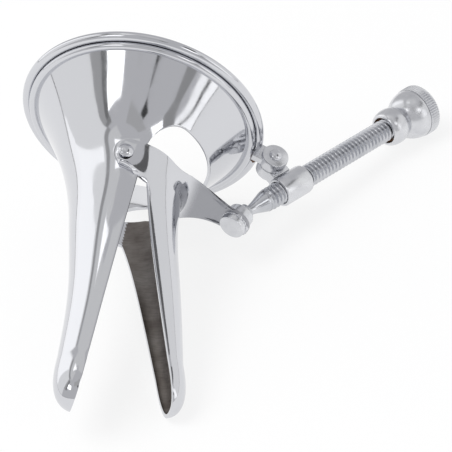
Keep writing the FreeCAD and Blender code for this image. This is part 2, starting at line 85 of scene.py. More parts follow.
# %% Helpers for the pieces
def deselect():
    if bpy.context.mode != "OBJECT":
        bpy.ops.object.mode_set(mode="OBJECT")
    bpy.ops.object.select_all(action="DESELECT")


def choose(piece):
    """Make one piece the selected and active one."""
    deselect()
    piece.select_set(True)
    bpy.context.view_layer.objects.active = piece
    return piece


def laid_grid(name, columns, rows, place):
    """A grid of faces whose points go to place(u, v), with u and v from 0 to 1."""
    deselect()
    bpy.ops.mesh.primitive_grid_add(x_subdivisions=columns, y_subdivisions=rows, size=1)
    piece = bpy.context.object
    piece.name = name
    for point in piece.data.vertices:
        point.co = place(point.co.x + 0.5, point.co.y + 0.5)
    return piece


def turned(name, stations, segments=64, close=True):
    """A lathe piece about Z: a circle, extruded and scaled through (radius, height) stations."""
    deselect()
    radius, height = stations[0]
    bpy.ops.mesh.primitive_circle_add(vertices=segments, radius=radius, location=(0, 0, 0),
                                      fill_type="NGON" if close else "NOTHING")
    piece = bpy.context.object
    piece.name = name
    bpy.ops.object.mode_set(mode="EDIT")
    bpy.ops.transform.translate(value=(0, 0, height))
    bpy.ops.mesh.select_all(action="SELECT")
    for next_radius, next_height in stations[1:]:
        bpy.ops.mesh.extrude_region_move(
            TRANSFORM_OT_translate={"value": (0, 0, next_height - height)})
        grow = next_radius / radius
        bpy.ops.transform.resize(value=(grow, grow, 1), center_override=(0, 0, next_height))
        radius, height = next_radius, next_height
    bpy.ops.mesh.select_all(action="SELECT")
    bpy.ops.mesh.normals_make_consistent(inside=False)
    bpy.ops.object.mode_set(mode="OBJECT")
    return piece


def axis_turn(start, direction):
    """The place of a turned piece: its Z axis goes from a point along a direction."""
    return Matrix.Translation(start) @ direction.to_track_quat("Z", "Y").to_matrix().to_4x4()


def modify(piece, kind, **settings):
    """Add one modifier with its settings, and apply it."""
    choose(piece)
    modifier = piece.modifiers.new(kind.title(), kind)
    for key, value in settings.items():
        setattr(modifier, key, value)
    bpy.ops.object.modifier_apply(modifier=modifier.name)
    return piece


def merge(piece, distance=0.002):
    choose(piece)
    bpy.ops.object.mode_set(mode="EDIT")
    bpy.ops.mesh.select_all(action="SELECT")
    bpy.ops.mesh.remove_doubles(threshold=distance)
    bpy.ops.mesh.normals_make_consistent(inside=False)
    bpy.ops.object.mode_set(mode="OBJECT")
    return piece


def join(name, *parts):
    """Join several meshes into the first."""
    deselect()
    for part in parts:
        part.select_set(True)
    bpy.context.view_layer.objects.active = parts[0]
    bpy.ops.object.join()
    parts[0].name = name
    return parts[0]


def fair(piece, near, rounds):
    """Even out the points that near() picks, and leave the open edges where they are."""
    uses = Counter(key for face in piece.data.polygons for key in face.edge_keys)
    border = {index for key, count in uses.items() if count == 1 for index in key}
    group = piece.vertex_groups.new(name="faired")
    group.add([point.index for point in piece.data.vertices
               if point.index not in border and near(point.co)], 1.0, "REPLACE")
    return modify(piece, "SMOOTH", factor=0.5, iterations=rounds, vertex_group="faired")


def smooth_faces(piece, angle=35):
    choose(piece)
    bpy.ops.object.shade_smooth_by_angle(angle=math.radians(angle))
    return piece


finished = []


def finish_piece(piece, body, material, nodes=(), place=Matrix()):
    """Carry a piece from the working frame to the table, and give it its body and finish."""
    piece.data.transform(TO_ROW @ place)
    piece.data.update()
    if not piece.data.materials:
        piece.data.materials.append(None)
    piece.data.materials[0] = material
    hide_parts(*nodes)
    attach(piece, body)
    finished.append(piece)
    print(piece.name, len(piece.data.polygons), "faces on", body)
    return piece


def spread(start, end, count):
    """Evenly spaced values, both ends included."""
    return [start + (end - start) * step / (count - 1) for step in range(count)]


def ease(share):
    """A smooth step from 0 to 1."""
    share = min(max(share, 0), 1)
    return share * share * (3 - 2 * share)


def sampled(values, share):
    """The value at a share of the way through a list, between its members."""
    spot = share * (len(values) - 1)
    low = min(int(spot), len(values) - 2)
    return values[low] + (values[low + 1] - values[low]) * (spot - low)


# %% [markdown]
# The finishes come first. Four surfaces make up this instrument. The bell and the blades are
# steel sheet, deep drawn, buffed and chromium plated, so they are near-mirrors whose
# buffing leaves hair-fine scratches and a faint waviness. The inside of the movable blade
# was never buffed, so it keeps the brown-grey drawn steel with its drag lines. The drum, the
# nut, the screw and the knob are machined and satin plated. One small function adds a node.

# %% Helpers for the materials
def linear(code):
    """An sRGB hex colour as the linear numbers that a shader takes."""
    channels = [int(code[index:index + 2], 16) / 255 for index in (1, 3, 5)]
    return [value / 12.92 if value <= 0.04045 else ((value + 0.055) / 1.055) ** 2.4
            for value in channels] + [1]


def node(tree, kind, links=(), **settings):
    """One node with its settings; links are (input, node, output), and names set sockets."""
    item = tree.nodes.new(kind)
    for key, value in settings.items():
        if hasattr(item, key):
            setattr(item, key, value)
        else:
            item.inputs[key.replace("_", " ")].default_value = value
    for socket, source, output in links:
        tree.links.new(source.outputs[output], item.inputs[socket])
    return item


def ramp(tree, source, output, stops):
    """A colour ramp with (place, grey or colour) stops."""
    item = node(tree, "ShaderNodeValToRGB", [("Fac", source, output)])
    while len(item.color_ramp.elements) < len(stops):
        item.color_ramp.elements.new(0.5)
    for element, (place, colour) in zip(item.color_ramp.elements, stops):
        element.position = place
        element.color = colour if isinstance(colour, list) else [colour, colour, colour, 1]
    return item


def metal(name, colour, roughness, metallic=1.0):
    """A new metal and its main nodes."""
    material = bpy.data.materials.new(name)
    material.use_nodes = True
    tree = material.node_tree
    shader = tree.nodes["Principled BSDF"]
    shader.inputs["Base Color"].default_value = linear(colour)
    shader.inputs["Metallic"].default_value = metallic
    shader.inputs["Roughness"].default_value = roughness
    spots = node(tree, "ShaderNodeTexCoord")
    return material, tree, shader, spots


# %% [markdown]
# Buffed chromium plate is a cool white metal. A buffing wheel cannot hold a deep-drawn sheet
# perfectly true, so reflections wobble over 5 to 10 mm. The wheel also leaves scratches a few
# hundredths of a millimetre wide, drawn coarser here so that they still show.

# %% Chromium plate
def chromium(name, wave, scratch, colour="#d3d4d8"):
    material, tree, shader, spots = metal(name, colour, 0.07)
    broad = node(tree, "ShaderNodeTexNoise", [("Vector", spots, "Object")],
                 Scale=110.0, Detail=1.0, Roughness=0.4)
    hair_place = node(tree, "ShaderNodeMapping", [("Vector", spots, "Object")],
                      Scale=(1.0, 0.06, 1.0), Rotation=(0.3, 0.2, 0.5))
    hair = node(tree, "ShaderNodeTexNoise", [("Vector", hair_place, "Vector")],
                Scale=4200.0, Detail=2.0, Roughness=0.6)
    wear = node(tree, "ShaderNodeTexNoise", [("Vector", spots, "Object")],
                Scale=260.0, Detail=4.0, Roughness=0.6)
    dull = node(tree, "ShaderNodeMapRange", [("Value", wear, "Fac")],
                **{"From_Min": 0.35, "From_Max": 0.75, "To_Min": 0.05, "To_Max": 0.12})
    tree.links.new(dull.outputs["Result"], shader.inputs["Roughness"])
    wavy = node(tree, "ShaderNodeBump", [("Height", broad, "Fac")],
                Strength=wave, Distance=0.0006)
    fine = node(tree, "ShaderNodeBump", [("Height", hair, "Fac"), ("Normal", wavy, "Normal")],
                Strength=scratch, Distance=0.00002)
    tree.links.new(fine.outputs["Normal"], shader.inputs["Normal"])
    return material


chrome = chromium("buffed chromium plate", 0.05, 0.06)
rivet_chrome = chromium("chromium plate on rivets", 0.03, 0.03)

# %% [markdown]
# Inside the movable blade the steel was left as it came from the drawing die: dark, slightly
# brown, with drag lines across the blade about a third of a millimetre apart and a few
# smoky patches.

# %% Unbuffed drawn steel
def drawn_steel():
    material, tree, shader, spots = metal("unbuffed drawn steel", "#8b8580", 0.42)
    lines_place = node(tree, "ShaderNodeMapping", [("Vector", spots, "Object")],
                       Scale=(0.10, 1.0, 0.25), Rotation=(0.0, 0.0, 0.12))
    lines = node(tree, "ShaderNodeTexNoise", [("Vector", lines_place, "Vector")],
                 Scale=3000.0, Detail=3.0, Roughness=0.65)
    smoke = node(tree, "ShaderNodeTexNoise", [("Vector", spots, "Object")],
                 Scale=120.0, Detail=3.0, Roughness=0.6)
    tint = ramp(tree, smoke, "Fac", [(0.36, linear("#746d68")), (0.52, linear("#87817c")),
                                     (0.68, linear("#95908b"))])
    streak = ramp(tree, lines, "Fac", [(0.35, 0.78), (0.6, 1.0)])
    colour = node(tree, "ShaderNodeMix", [(6, tint, "Color"), (7, streak, "Color")],
                  data_type="RGBA", blend_type="MULTIPLY")
    colour.inputs[0].default_value = 1.0
    tree.links.new(colour.outputs[2], shader.inputs["Base Color"])
    rough = node(tree, "ShaderNodeMapRange", [("Value", lines, "Fac")],
                 **{"From_Min": 0.3, "From_Max": 0.7, "To_Min": 0.32, "To_Max": 0.5})
    tree.links.new(rough.outputs["Result"], shader.inputs["Roughness"])
    bump = node(tree, "ShaderNodeBump", [("Height", lines, "Fac")],
                Strength=0.35, Distance=0.00005)
    tree.links.new(bump.outputs["Normal"], shader.inputs["Normal"])
    return material


drawn = drawn_steel()

# %% [markdown]
# The fittings are turned parts with a satin plate: a soft bright grey whose fine tooling
# lines are about a fifth of a millimetre apart, with slightly darker handled patches.

# %% Satin plated steel
def satin(name, colour, dark, roughness):
    material, tree, shader, spots = metal(name, colour, roughness)
    patches = node(tree, "ShaderNodeTexNoise", [("Vector", spots, "Object")],
                   Scale=260.0, Detail=2.0, Roughness=0.5)
    tint = ramp(tree, patches, "Fac", [(0.3, linear(dark)), (0.7, linear(colour))])
    tree.links.new(tint.outputs["Color"], shader.inputs["Base Color"])
    grit = node(tree, "ShaderNodeTexNoise", [("Vector", spots, "Object")],
                Scale=5000.0, Detail=2.0, Roughness=0.6)
    rough = node(tree, "ShaderNodeMapRange", [("Value", patches, "Fac")],
                 **{"From_Min": 0.3, "From_Max": 0.7, "To_Min": roughness - 0.03,
                    "To_Max": roughness + 0.03})
    tree.links.new(rough.outputs["Result"], shader.inputs["Roughness"])
    bump = node(tree, "ShaderNodeBump", [("Height", grit, "Fac")],
                Strength=0.1, Distance=0.00002)
    tree.links.new(bump.outputs["Normal"], shader.inputs["Normal"])
    return material


satin_plate = satin("satin plated steel", "#dfe0e3", "#d0d1d5", 0.26)
thread_plate = satin("plated screw thread", "#cfd0d4", "#bcbec3", 0.19)
solder = satin("oxidised solder", "#7d5d45", "#4e382c", 0.55)

# %% [markdown]
# Past the blade's flank the chromium of the tongue turns darker grey and rougher, over the first
# 4 mm beyond that flank.

# %% The tongue's chromium, darker and rougher outwards
def make_darker_outward_chromium(start, end):
    """Chromium plate that grows duller between two points of the working frame."""
    material = chrome.copy()
    material.name = "chromium plate darker towards the tongue end"
    tree = material.node_tree
    shader = tree.nodes["Principled BSDF"]
    first, last = TO_ROW @ start, TO_ROW @ end
    line = (last - first) / (last - first).length_squared
    spots = node(tree, "ShaderNodeTexCoord")
    along = node(tree, "ShaderNodeVectorMath", [(0, spots, "Object")], operation="DOT_PRODUCT")
    along.inputs[1].default_value = line
    faded = node(tree, "ShaderNodeMapRange", [("Value", along, "Value")],
                 interpolation_type="SMOOTHSTEP",
                 **{"From_Min": line.dot(first), "From_Max": line.dot(last),
                    "To_Min": 0.07, "To_Max": 0.3})
    tree.links.new(faded.outputs["Result"], shader.inputs["Roughness"])
    # The base colour goes from the flank's light grey to a darker grey along this line.
    darker = ramp(tree, faded, "Result", [(0.07, linear("#d3d4d8")), (0.3, linear("#a3a4a9"))])
    tree.links.new(darker.outputs["Color"], shader.inputs["Base Color"])
    return material


FADE_START, FADE_END = Vector((13.8, 0, 18.7)), Vector((17.6, 0, 17.3))
darker_outward_chromium = make_darker_outward_chromium(FADE_START, FADE_END)

# %% [markdown]
# The outline of the bell and of both blades is one smooth curve of half width against
# height. A natural spline through a few measured stations keeps the long reflections clean,
# because its curvature has no jumps.

# %% The outline curves
def natural_spline(stations):
    """A smooth function through (height, value) stations."""
    heights = [height for height, value in stations]
    values = [value for height, value in stations]
    count = len(stations)
    steps = [heights[index + 1] - heights[index] for index in range(count - 1)]
    bends = [0.0] * count
    lower, right = [0.0] * count, [0.0] * count
    for index in range(1, count - 1):
        rise = ((values[index + 1] - values[index]) / steps[index]
                - (values[index] - values[index - 1]) / steps[index - 1])
        scale = 2 * (steps[index - 1] + steps[index]) - steps[index - 1] * lower[index - 1]
        lower[index] = steps[index] / scale
        right[index] = (6 * rise - steps[index - 1] * right[index - 1]) / scale
    for index in range(count - 2, 0, -1):
        bends[index] = right[index] - lower[index] * bends[index + 1]

    def value_at(height):
        spot = 0
        while spot < count - 2 and height > heights[spot + 1]:
            spot += 1
        step = steps[spot]
        after = (height - heights[spot]) / step
        before = 1 - after
        return (before * values[spot] + after * values[spot + 1]
                + ((before ** 3 - before) * bends[spot]
                   + (after ** 3 - after) * bends[spot + 1]) * step * step / 6)
    return value_at


SKIN = 1.0
RIM_RADIUS, BEAD = 32.5, 1.25
PARTING, PARTING_GAP = 1.6, 0.3
EDGE_LOW, EDGE_CORNER = 14.0, 9.5
SHOULDER, TIP = 80.0, 93.0
OPENING = math.radians(20.6)
half_width = natural_spline([(0, RIM_RADIUS - 2 * BEAD), (14, 20.8), (26, 15.8), (38, 13.1),
                             (57.4, 8.9), (80, 6.7)])


def centre(height):
    """The sections' centres move from the bell's axis to the parting plane."""
    return PARTING * ease((height - EDGE_LOW) / (38 - EDGE_LOW))


# The sides have a curve of their own, slightly fuller at the waist, where the ears swing.
side_width = natural_spline([(0, 30), (9, 23.8), (15, 19.8), (20, 17.3), (24, 16.4), (28, 15.9),
                             (33, 14.7), (38, 13.1), (57.4, 8.9), (80, 6.7)])


def nose(height, tip):
    """Share of the shoulder's radius that is left on a rounded tip."""
    if height <= SHOULDER:
        return 1.0
    share = min((height - SHOULDER) / (tip - SHOULDER), 1)
    return max(1 - share ** 2.5, 0) ** 0.4


def bell_point(angle, height):
    """A point of the bell and the fixed blade's outer skin; angle 0 faces the window."""
    base = min(height, SHOULDER)
    share = nose(height, TIP)
    return Vector((centre(base) + half_width(base) * share * math.cos(angle),
                   side_width(base) * share * math.sin(angle), height))


def bell_side(x, height):
    """How far the bell's outer skin lies from the middle plane, beside a point of that plane."""
    across = min(abs(x - centre(height)) / half_width(height), 1)
    return side_width(height) * math.sqrt(1 - across * across)


def tip_heights(tip, count):
    """Heights from the shoulder to the tip, closer together where the nose curls in."""
    return [SHOULDER + (tip - SHOULDER) * math.sin(share * math.pi / 2) ** 0.9
            for share in spread(0, 1, count)]


# %% [markdown]
# The bell and the fixed blade are one sheet with a window on the movable side. Its free edge
# runs level round the bell and turns in a corner of 9.5 mm up into the blade's edge. A cut
# through a finished skin would leave ragged shading beside the edge, and a mirror finish shows
# that at once. So two grids are laid whose own borders follow the edge: one covers the back
# of the bell and the whole blade, and one covers the short wall below the window.

# %% The bell and the fixed blade
EDGE = PARTING - PARTING_GAP / 2
CORNER_TOP = EDGE_LOW + EDGE_CORNER
RIM_START = -0.6


def edge_angle(height):
    """The angle at which the skin meets the blade's straight edge, at a height."""
    base = min(height, SHOULDER)
    reach = half_width(base) * nose(height, TIP)
    if reach < 1e-6:
        return math.pi
    return math.acos(min(max((EDGE - centre(base)) / reach, -1), 1))


low_rows = spread(RIM_START, CORNER_TOP, 37)
nose_end = TIP
while half_width(SHOULDER) * nose(nose_end, TIP) < 0.16:
    nose_end -= 0.0002
blade_rows = low_rows + spread(CORNER_TOP, SHOULDER, 66)[1:]
blade_rows += [height for height in tip_heights(TIP, 30)[1:] if height < nose_end] + [nose_end]
side_angle = edge_angle(CORNER_TOP)


def back_skin(u, v):
    height = sampled(blade_rows, v)
    start = edge_angle(height) if height > CORNER_TOP else side_angle
    return bell_point(start + (2 * math.pi - 2 * start) * u, height)


corner_columns = []
for share in spread(0, math.pi / 2, 15):
    x = EDGE + EDGE_CORNER * (1 - math.cos(share))
    z = EDGE_LOW + EDGE_CORNER * (1 - math.sin(share))
    corner_columns.append((math.acos((x - centre(z)) / half_width(z)), z))
level_end = corner_columns[-1][0]
front_columns = ([(-angle, z) for angle, z in corner_columns]
                 + [(angle, EDGE_LOW) for angle in spread(-level_end, level_end, 43)[1:-1]]
                 + corner_columns[::-1])


def front_skin(u, v):
    angle, top = front_columns[round(u * (len(front_columns) - 1))]
    return bell_point(angle, RIM_START + (top - RIM_START) * v)


back = laid_grid("back", 112, len(blade_rows) - 1, back_skin)
front = laid_grid("front", len(front_columns) - 1, len(low_rows) - 1, front_skin)
bell = merge(join("bell_skin", back, front))
print("bell skin", len(bell.data.vertices), "points")

# %% [markdown]
# The skin gets its 1 mm of metal inwards. At the rim the sheet is rolled outwards over a
# wire, so a bead of 2.5 mm stands round the mouth. The end of the sheet curls over once more
# and lies on the bell as a second, thinner roll, with a dark groove between the two.

# %% Thickness and rolled rim
modify(bell, "SOLIDIFY", thickness=SKIN, offset=-1, use_quality_normals=True)
modify(bell, "BEVEL", width=0.22, segments=2, limit_method="ANGLE", angle_limit=math.radians(50))
smooth_faces(bell)

deselect()
bpy.ops.mesh.primitive_torus_add(major_segments=192, minor_segments=28,
                                 major_radius=RIM_RADIUS - BEAD, minor_radius=BEAD)
bead = bpy.context.object
bead.name = "rim_bead"
deselect()
bpy.ops.mesh.primitive_torus_add(major_segments=192, minor_segments=20, location=(0, 0, 1.5),
                                 major_radius=RIM_RADIUS - 2 * BEAD - 0.6, minor_radius=1.05)
curl = bpy.context.object
curl.name = "roll_end"
for ring_piece in (bead, curl):
    smooth_faces(ring_piece)

bell = join("bell_and_fixed_blade_skin", bell, bead, curl)
finish_piece(bell, "bell", chrome, ["bell_and_fixed_blade"])

# %% [markdown]
# The movable blade is a trough that is hung from the rivets by two ears. At its heel the sheet
# turns outwards in a soft curve and becomes the tongue that carries the swivel drum.
# Each column of the grid runs down the trough and, near the middle, on through that curve and
# out to the tongue's edge. So the flare, the flat tongue and the trough are one skin.

# %% The movable blade's trough
HEEL_MIDDLE = PARTING + PARTING_GAP / 2
blade_width = natural_spline([(14, 18.6), (24, 18.0), (30, 16.3), (38, 13.1), (57.4, 8.9),
                              (80, 6.7)])
blade_depth = natural_spline([(14, 15.5), (26, 13.9), (38, 10.8), (57.4, 8.2), (80, 5.3)])
BLADE_TIP = TIP - 0.4
OPEN = (Matrix.Translation(PIVOT) @ Matrix.Rotation(OPENING, 4, "Y")
        @ Matrix.Translation(-PIVOT))


def trough_point(angle, height):
    """A point of the blade's outer skin as it lies open; height is along the closed blade."""
    base = min(height, SHOULDER)
    share = nose(height, BLADE_TIP)
    return OPEN @ Vector((HEEL_MIDDLE + blade_depth(base) * share * math.cos(angle),
                          blade_width(base) * share * math.sin(angle), height))


# %% [markdown]
# The tongue rises 20 degrees towards the tips. Its edge is measured at a few stations, and
# its end is round about the drum. The trim line of the heel joins the ears to the tongue.

# %% The tongue's edge
TILT = math.radians(20)
OUTWARD = Vector((math.cos(TILT), 0, math.sin(TILT)))
NORMAL = Vector((-math.sin(TILT), 0, math.cos(TILT)))
FACE = Vector((29.4, 0, 25.9))
SEAT = FACE - NORMAL * 1.8
TONGUE_END = 4.0
FLARE = math.radians(50)


def trim_height(x):
    """The height of the heel's trim line between the ears and the flare."""
    return 22.4 - 0.045 * (x - 3)


def tongue_height(x):
    return SEAT.z + (x - SEAT.x) * math.tan(TILT)


HALVINGS = 40


def closed_height(angle, goal):
    """How far down the closed blade a column has to run to reach a height as it lies open."""
    low, high = 15.0, 40.0
    for halving in range(HALVINGS):
        middle = (low + high) / 2
        spot = trough_point(angle, middle)
        if spot.z > goal(spot.x):
            high = middle
        else:
            low = middle
    return high


flare_start = trough_point(FLARE, closed_height(FLARE, trim_height))
edge_points = [flare_start, Vector((13.2, 10.8, 21.75)), Vector((15.3, 9.7, 21.45)),
               Vector((17.3, 8.4, 21.1)), Vector((19.3, 7.1, 20.9)), Vector((21.7, 5.8, 21.3)),
               Vector((24, 4.9, tongue_height(24))), Vector((26.6, 4.25, tongue_height(26.6)))]
for share in spread(8, 90, 10):
    turn_angle = math.radians(share)
    edge_points.append(SEAT + OUTWARD * (TONGUE_END * math.sin(turn_angle))
                       + Vector((0, TONGUE_END * math.cos(turn_angle), 0)))
lengths = [0.0]
for before, after in zip(edge_points, edge_points[1:]):
    lengths.append(lengths[-1] + (after - before).length)
tongue_edge = [natural_spline(list(zip(lengths, [point[axis] for point in edge_points])))
               for axis in range(3)]


def tongue_edge_point(angle):
    """Where a column of the flare ends on the tongue's edge."""
    share = (1 - abs(angle) / FLARE) * lengths[-1]
    x, y, z = (part(share) for part in tongue_edge)
    return Vector((x, math.copysign(y, angle) if abs(angle) > 1e-9 else 0.0, z))


# %% The flare's columns
TROUGH_END = 34.0
FILLET = 7.1
heel_cache = {}


def heel_path(angle):
    """The points of one column from the trough's end to the heel's or the tongue's edge."""
    key = round(angle, 6)
    if key in heel_cache:
        return heel_cache[key]
    if abs(angle) >= FLARE:
        end = closed_height(angle, trim_height)
        path = [trough_point(angle, height) for height in spread(TROUGH_END, end, 60)]
    else:
        share = abs(angle) / FLARE
        blend = share ** 1.6

        def goal(x):
            return tongue_height(x) * (1 - blend) + trim_height(x) * blend

        corner_height = closed_height(angle, goal)
        corner = trough_point(angle, corner_height)
        edge = tongue_edge_point(angle)
        leg = (edge - corner).length
        out = min(FILLET, leg)
        back = FILLET * (1 - share) + 4.5 * share
        start = trough_point(angle, corner_height + back)
        stop = corner + (edge - corner).normalized() * out
        path = [trough_point(angle, height)
                for height in spread(TROUGH_END, corner_height + back, 12)][:-1]
        first = start + (corner - start) * 0.52
        second = stop + (corner - stop) * 0.52
        for step in spread(0, 1, 40):
            rest = 1 - step
            path.append(start * rest ** 3 + first * (3 * rest * rest * step)
                        + second * (3 * rest * step * step) + stop * step ** 3)
        if leg > out:
            path += [stop + (edge - stop) * step for step in spread(0, 1, 30)[1:]]
    heel_cache[key] = path
    return path


def along_path(path, share):
    """A point at a share of a path's length."""
    steps = [0.0]
    for before, after in zip(path, path[1:]):
        steps.append(steps[-1] + (after - before).length)
    goal = share * steps[-1]
    for index in range(len(path) - 1):
        if steps[index + 1] >= goal:
            step = steps[index + 1] - steps[index]
            part = 0 if step < 1e-9 else (goal - steps[index]) / step
            return path[index].lerp(path[index + 1], part)
    return path[-1].copy()


# %% [markdown]
# The trough and the heel are laid as two grids that share one row. A mirror finish shows the
# least ripple, so the heel's inner points are faired first: each moves to the mean of its
# four neighbours, many times over, and its borders stay. The ears are two more small grids:
# each starts on the side column of the heel and ends on the rounding about its rivet, bent to
# lie close to the bell. Merging the shared points makes one skin of the four, and the places
# where the ears join the trough are evened out once more.

# %% The movable blade's skin
trough_rows = tip_heights(BLADE_TIP, 26)[:0:-1] + spread(SHOULDER, TROUGH_END, 56)
COLUMNS, HEEL_ROWS, EAR_COLUMNS = 96, 34, 10
EAR_RADIUS, EAR_TOP = 3.5, 2.8
EAR_GAP, EAR_BEND = 0.5, 1.3
FAIRING_ROUNDS, FAIRING_SHARE, FIXED_ROWS = 60, 0.7, 6


def column_angle(u):
    return math.pi * (u - 0.5)


def trough_skin(u, v):
    return trough_point(column_angle(u), sampled(trough_rows, v))


heel_points = [[along_path(heel_path(column_angle(column / COLUMNS)), row / HEEL_ROWS)
                for column in range(COLUMNS + 1)] for row in range(HEEL_ROWS + 1)]
for fairing_round in range(FAIRING_ROUNDS):
    before = heel_points
    heel_points = [list(line) for line in before]
    for row in range(2, HEEL_ROWS):
        share = FAIRING_SHARE * ease((row - 1) / FIXED_ROWS)
        for column in range(1, COLUMNS):
            mean = (before[row - 1][column] + before[row + 1][column]
                    + before[row][column - 1] + before[row][column + 1]) / 4
            heel_points[row][column] = before[row][column].lerp(mean, share)


def heel_skin(u, v):
    return heel_points[round(v * HEEL_ROWS)][round(u * COLUMNS)]


def ear_skin(side):
    def place(u, v):
        root = along_path(heel_path(side * math.pi / 2), v)
        turn_angle = math.pi * v
        radius = EAR_TOP + (EAR_RADIUS - EAR_TOP) * v
        outline = PIVOT + Vector((-radius * math.sin(turn_angle), 0,
                                  radius * math.cos(turn_angle)))
        spot = root.lerp(outline, u)
        spot.z += (outline.z - root.z) * (ease(u) - u) * (1 - v) ** 2
        close = bell_side(spot.x, spot.z) + EAR_GAP + SKIN
        spot.y = side * (abs(root.y) + (close - abs(root.y)) * ease(u * EAR_BEND))
        return spot
    return place


trough = laid_grid("trough", COLUMNS, len(trough_rows) - 1, trough_skin)
heel = laid_grid("heel", COLUMNS, HEEL_ROWS, heel_skin)
ears = [laid_grid("ear", EAR_COLUMNS, HEEL_ROWS, ear_skin(side)) for side in (1, -1)]
blade = merge(join("movable_blade_skin", trough, heel, *ears), 0.004)


def beside_ears(spot):
    return abs(spot.y) > 9 and -4.5 < spot.x < 12 and spot.z < 33


fair(blade, beside_ears, FAIRING_ROUNDS)
print("blade skin", len(blade.data.vertices), "points")

# %% [markdown]
# The sheet is 1 mm thick again. Its inside keeps the unbuffed steel, so the thickness modifier
# gives the inner faces their own material. The ears and the tongue are buffed on both sides,
# so their inner faces get the plated finishes back.

# %% The blade's thickness and finishes
for material in (chrome, drawn, darker_outward_chromium):
    blade.data.materials.append(material)
modify(blade, "SOLIDIFY", thickness=SKIN, offset=-1, use_quality_normals=True,
       material_offset=1)
modify(blade, "BEVEL", width=0.2, segments=2, limit_method="ANGLE", angle_limit=math.radians(50))
smooth_faces(blade)
for face in blade.data.polygons:
    spot = face.center
    on_ear = spot.x < 4.2 and spot.z < 32
    below = (spot - SEAT).dot(NORMAL)
    on_tongue = spot.x > 13.5 and below < 1.2 and spot.z < 32
    on_fillet = spot.x > 9 and spot.z < 36 and face.material_index == 0
    if on_tongue or on_fillet:
        face.material_index = 2
    elif on_ear:
        face.material_index = 0

finish_piece(blade, "movable_blade", chrome, ["movable_blade"])

# %% [markdown]
# Two rivets hold the ears. Each outer head is a low polished dome whose foot is dressed round,
# so it is turned as a stack of rings that close in towards the top.

# %% The blade rivets
def dome(radius, height, count=9):
    """Stations of a dome that closes in to a tiny flat."""
    return [(radius * math.cos(turn) + 0.02, height * math.sin(turn))
            for turn in spread(0, math.radians(88), count)]


for name, side in (("near_blade_rivet", 1), ("far_blade_rivet", -1)):
    shank = [(2.0, -2.8), (2.0, -2.2), (1.2, -2.15), (1.2, 0.04)]
    rivet = turned(name + "_turned", shank + dome(2.0, 1.12), 48)
    smooth_faces(rivet)
    outer = bell_side(PIVOT.x, PIVOT.z) + EAR_GAP + SKIN
    place = axis_turn(PIVOT + Vector((0, side * outer, 0)), Vector((0, side, 0)))
    finish_piece(rivet, "bell", rivet_chrome, [name], place)

# %% [markdown]
# The drum is a stub of bar that was soldered through the tongue's end. Its closed face was
# filed flat and is a matt grey; the open end takes the screw's ball. Its edges are broken.

# %% The swivel drum
DRUM_RADIUS, DRUM_LENGTH, CHAMBER = 3.5, 5.6, 2.7
drum = turned("swivel_drum_turned", [
    (DRUM_RADIUS - 0.25, 0), (DRUM_RADIUS - 0.08, 0.08), (DRUM_RADIUS, 0.25),
    (DRUM_RADIUS, DRUM_LENGTH - 0.15), (DRUM_RADIUS - 0.12, DRUM_LENGTH),
    (CHAMBER + 0.1, DRUM_LENGTH), (CHAMBER, DRUM_LENGTH - 0.1), (CHAMBER, 0.85),
    (0.1, 0.8)], 72)
smooth_faces(drum)
DRUM_PLACE = axis_turn(FACE, -NORMAL)
finish_piece(drum, "movable_blade", satin_plate,
             ["swivel_drum", "drum_cap"], DRUM_PLACE)

# %% [markdown]
# Bright solder crept up between the drum and the tongue and froze in small lumps. A thin ring
# follows the joint, and its points are pushed in and out by a few waves of different pitch, as
# a fillet of solder that was never cleaned up.

# %% Solder at the drum
deselect()
bpy.ops.mesh.primitive_torus_add(major_segments=120, minor_segments=14,
                                 major_radius=DRUM_RADIUS + 0.05, minor_radius=0.42)
fillet = bpy.context.object
fillet.name = "drum_solder"
for point in fillet.data.vertices:
    around = math.atan2(point.co.y, point.co.x)
    swell = (1 + 0.30 * math.sin(5 * around + 1) + 0.25 * math.sin(11 * around)
             + 0.18 * math.sin(23 * around + 2))
    ring = Vector((math.cos(around), math.sin(around), 0)) * (DRUM_RADIUS + 0.05)
    outside = (DRUM_PLACE @ ring - FACE) / DRUM_RADIUS
    heaped = ease(outside.dot(OUTWARD * 0.6 + Vector((0, 0.8, 0))) + 0.35)
    point.co = ring + (point.co - ring) * (0.85 * swell * (0.25 + 0.75 * heaped))
    point.co.z += 1.75
smooth_faces(fillet, 60)
finish_piece(fillet, "movable_blade", rivet_chrome, (), DRUM_PLACE)

# %% [markdown]
# The screw's axis runs from the ball in the drum past the rim's lug. Its thread is a round
# one with a pitch of 1.3 mm. A thread is a helix, so it is laid on a fine tube whose radius
# follows a wave that advances one pitch per turn; near its front end the wave fades out, as a
# die's lead-in does. The plain end in front is a cone and a neck.

# %% The screw's axis
BALL = FACE - NORMAL * 4.6
NUT_OFFSET = 7.7
reach = (LUG - BALL).length
lean = math.atan2(LUG.z - BALL.z, LUG.x - BALL.x) + math.asin(NUT_OFFSET / reach)
SCREW = Vector((math.cos(lean), 0, math.sin(lean)))
FOOT = BALL + SCREW * math.sqrt(reach ** 2 - NUT_OFFSET ** 2)
SCREW_PLACE = axis_turn(BALL, SCREW)
PITCH, THREAD_RADIUS, THREAD_DEPTH = 1.3, 3.1, 0.8
THREAD_START, KNOB_START = 9.2, 55.1
print("screw axis", [round(value, 3) for value in SCREW])

# %% The screw
plain = turned("screw_end", [(1.2, -1.8), (1.3, -1.7), (1.3, -1.35), (0.9, -1.3), (0.9, 1.5),
                             (2.2, 1.55), (2.35, 1.7), (2.35, 2.55), (2.2, 2.7), (1.35, 2.75),
                             (1.35, 3.6), (1.45, 4.4), (1.75, 5.6), (2.2, 7.0), (2.65, 8.4),
                             (2.85, 9.2), (2.9, 9.8), (2.3, 10.2)], 64)
THREAD_END = KNOB_START + 1.4
TURNS = (THREAD_END - THREAD_START) / PITCH


